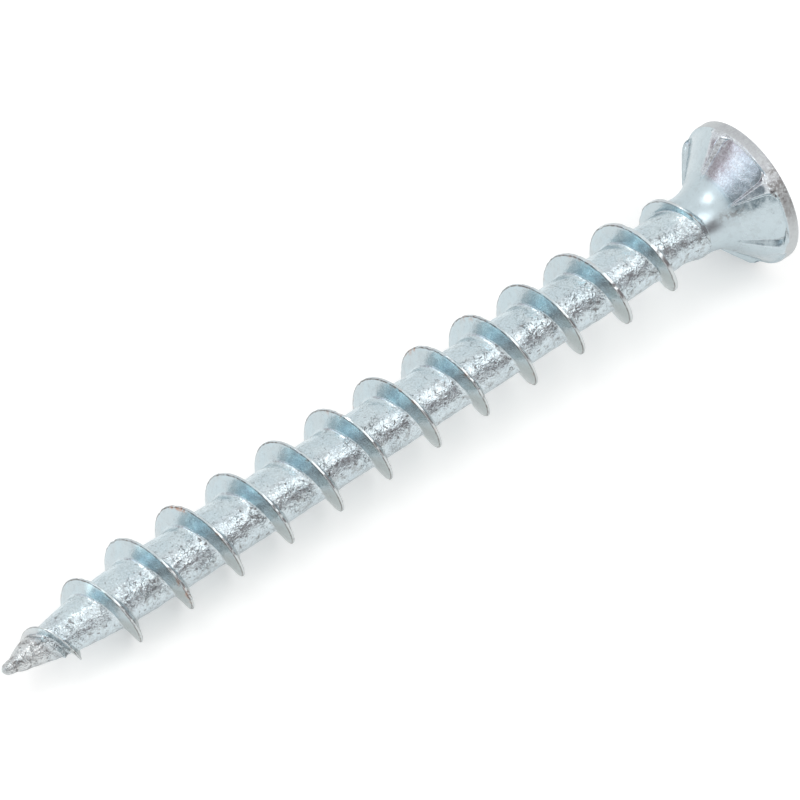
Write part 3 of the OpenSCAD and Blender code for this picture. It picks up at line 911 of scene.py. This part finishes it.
def zinc_bumps(n, m, p, pits):
    """Normal with the plating's bumps: strongest on the core, faint on the flanks, none on the neck."""
    height = n.plus(n.times(p.waves, 0.5), n.times(p.swells, 0.75), n.times(n.crease_line(p.folds), 1.15),
                    n.times(p.specks, 0.22))
    height = n.math("SUBTRACT", height, n.times(pits, 0.6))
    smooth = n.times(n.larger(m.flank, n.span(m.head, 0.0, 0.28)), 0.86)
    strong = n.math("SUBTRACT", 1.0, n.larger(smooth, n.times(m.polished, 0.98)))
    off_core = n.span(n.larger(m.flank, n.span(m.head, 0.0, 0.25)), 0.0, 1.0)
    strong = n.times(strong, n.larger(off_core, m.grit))
    bump = n.add("ShaderNodeBump")
    bump.inputs["Strength"].default_value = 1.0
    bump.inputs["Distance"].default_value = BUMP_HEIGHT
    n.link(n.times(height, strong), bump.inputs["Height"])
    return bump.outputs[0]


def zinc():
    """Zinc plated steel, rolled and worn, with painted light, shade and reflections in its colour."""
    material, n, surface = new_material("zinc")
    shader = n.add("ShaderNodeBsdfPrincipled")
    n.link(shader.outputs[0], surface)
    where = n.add("ShaderNodeTexCoord").outputs["Object"]
    p = SimpleNamespace(**{name: n.noise(where, *values) for name, values in PATTERNS.items()})
    m = zinc_masks(n)
    wrinkles = n.times(n.span(n.crease_line(p.wrinkles), 0.0, 0.021, 1.0, 0.0),
                       n.span(p.wrinkle_patches, 0.49, 0.6))
    # Pits, more of them on the lower side, where they also paint shade
    pits = n.times(n.larger(n.span(p.pits, 0.65, 0.69), wrinkles),
                   n.plus(n.times(m.open_core, m.rough_side, 0.85), 0.1))
    n.link(zinc_marks(n, m, p, pits, zinc_plating(n, m, p)), shader.inputs["Base Color"])
    shader.inputs["Metallic"].default_value = 1.0
    n.link(zinc_roughness(n, m, p), shader.inputs["Roughness"])
    n.link(zinc_bumps(n, m, p, pits), shader.inputs["Normal"])
    return material


def diffuse(n, colour):
    """Shader of a matt surface."""
    shader = n.add("ShaderNodeBsdfDiffuse")
    n.give(colour, shader.inputs["Color"])
    return shader.outputs[0]


def card_material(name, colour):
    """Plain matt colour."""
    material, n, surface = new_material(name)
    n.link(diffuse(n, colour), surface)
    return material


def floor_material():
    """Pale matt floor that glows a little where the camera or a mirror sees it."""
    material, n, surface = new_material("floor")
    glow = n.add("ShaderNodeEmission")
    n.link(n.times(n.seen_background(), FLOOR_GLOW), glow.inputs["Strength"])
    both = n.add("ShaderNodeAddShader")
    n.link(diffuse(n, FLOOR_COLOUR), both.inputs[0])
    n.link(glow.outputs[0], both.inputs[1])
    n.link(both.outputs[0], surface)
    return material


# Studio, in metres and watts: what the zinc mirrors are cards and lamps that the camera doesn't see
FLOOR_SIZE = (3, 3)
FLOOR_COLOUR = (0.87, 0.87, 0.86)
FLOOR_GLOW = 0.3
WORLD_LIGHT, WORLD_SEEN = 0.75, 0.25
UPRIGHT_FRONT = (math.radians(90), 0, 0)
UPRIGHT_SIDE = (0, math.radians(90), 0)

# Name, width and height, place, turn and colour
CARDS = (
    ("front", (0.44, 0.25), (0.2, -0.3, 0.13), UPRIGHT_FRONT, (0.32, 0.28, 0.285)),
    ("west", (0.31, 0.34), (-0.42, 0.43, 0.165), UPRIGHT_SIDE, (0.59, 0.5, 0.53)),
    ("sky", (0.31, 0.315), (-0.42, 0.1025, 0.165), UPRIGHT_SIDE, (0.6, 0.73, 0.8)),
    ("dusk", (0.31, 0.235), (-0.42, -0.1725, 0.165), UPRIGHT_SIDE, (0.3, 0.35, 0.38)),
)

# Name, place, width and height, power and colour; all of them point at the screw
LAMPS = (
    ("key", (0.21, -0.27, 0.43), (0.5, 0.3), 0.54, (1, 1, 1)),
    ("top", (-0.145, 0.115, 0.5), (0.19, 0.19), 0.31, (1, 1, 1)),
    ("window", (-0.4, 0.095, 0.135), (0.37, 0.11), 0.071, (1, 0.83, 0.9)),
    ("sky", (-0.4, 0.1, 0.265), (0.38, 0.15), 0.145, (0.93, 0.96, 1.05)),
)

# Camera as fitted to the outline in the photo
SENSOR_WIDTH = 36
CAMERA_LENS = 245.251
CAMERA_AT = (-0.11502480, -0.13242204, 0.22826461)
CAMERA_TURN = (38.14420427, -1.73782617, -38.94382834)
CLIP_START, CLIP_END = 0.01, 10


def flat_card(name, size, place, turn, material, camera_sees):
    """A flat rectangle of the stage; one that the camera doesn't see is there for mirror images only."""
    x, y = size[0] / 2, size[1] / 2
    mesh = bpy.data.meshes.new(name)
    mesh.from_pydata([(-x, -y, 0), (x, -y, 0), (x, y, 0), (-x, y, 0)], [], [(0, 1, 2, 3)])
    mesh.materials.append(material)
    card = bpy.data.objects.new(name, mesh)
    card.location = place
    card.rotation_euler = turn
    card.visible_camera = camera_sees
    card.visible_diffuse = camera_sees
    card.visible_shadow = camera_sees
    bpy.context.scene.collection.objects.link(card)


def lamp(name, place, size, power, colour):
    """An area lamp that points at the middle of the floor."""
    light = bpy.data.lights.new(name, "AREA")
    light.shape = "RECTANGLE"
    light.size, light.size_y = size
    light.energy = power
    light.color = colour
    holder = bpy.data.objects.new(name, light)
    holder.location = place
    holder.rotation_euler = (-Vector(place)).to_track_quat("-Z", "Y").to_euler()
    holder.visible_camera = False
    bpy.context.scene.collection.objects.link(holder)


def studio_world():
    """Soft even light, and a brighter white where the camera or a mirror sees it."""
    world = bpy.data.worlds.new("studio")
    bpy.context.scene.world = world
    world.use_nodes = True
    n = Nodes(world.node_tree)
    background = n.add("ShaderNodeBackground")
    background.inputs["Color"].default_value = (1, 1, 1, 1)
    n.link(n.plus(n.times(n.seen_background(), WORLD_SEEN), WORLD_LIGHT), background.inputs["Strength"])
    n.link(background.outputs[0], n.add("ShaderNodeOutputWorld").inputs["Surface"])


def add_camera():
    """The photo's camera."""
    data = bpy.data.cameras.new("camera")
    data.sensor_width = SENSOR_WIDTH
    data.lens = CAMERA_LENS
    data.clip_start, data.clip_end = CLIP_START, CLIP_END
    camera = bpy.data.objects.new("camera", data)
    camera.location = CAMERA_AT
    camera.rotation_euler = Euler([math.radians(angle) for angle in CAMERA_TURN])
    bpy.context.scene.collection.objects.link(camera)
    bpy.context.scene.camera = camera


skin = Skin()
shank = Shank()
number = shank.add_points(skin)
nose_edge = add_nose(skin)
neck_edge = skin.add(polar(AROUND, NECK_R, TOP_Z), head=NECK_MASK)
shank.add_faces(skin, number, nose_edge, neck_edge)
rim_edge, rim_angle = add_head(skin, neck_edge)
add_face(skin, rim_edge, rim_angle)

mesh = skin_mesh(skin)
mesh.materials.append(zinc())
piece = bpy.data.objects.new("screw_skin", mesh)
bpy.context.scene.collection.objects.link(piece)
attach(piece, "root")
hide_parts("screw")

flat_card("floor", FLOOR_SIZE, (0, 0, 0), (0, 0, 0), floor_material(), camera_sees=True)
for name, size, place, turn, colour in CARDS:
    flat_card(f"{name}_card", size, place, turn, card_material(name, colour), camera_sees=False)
for values in LAMPS:
    lamp(*values)
studio_world()
add_camera()
bpy.context.scene.view_settings.view_transform = "Standard"

bpy.context.view_layer.update()
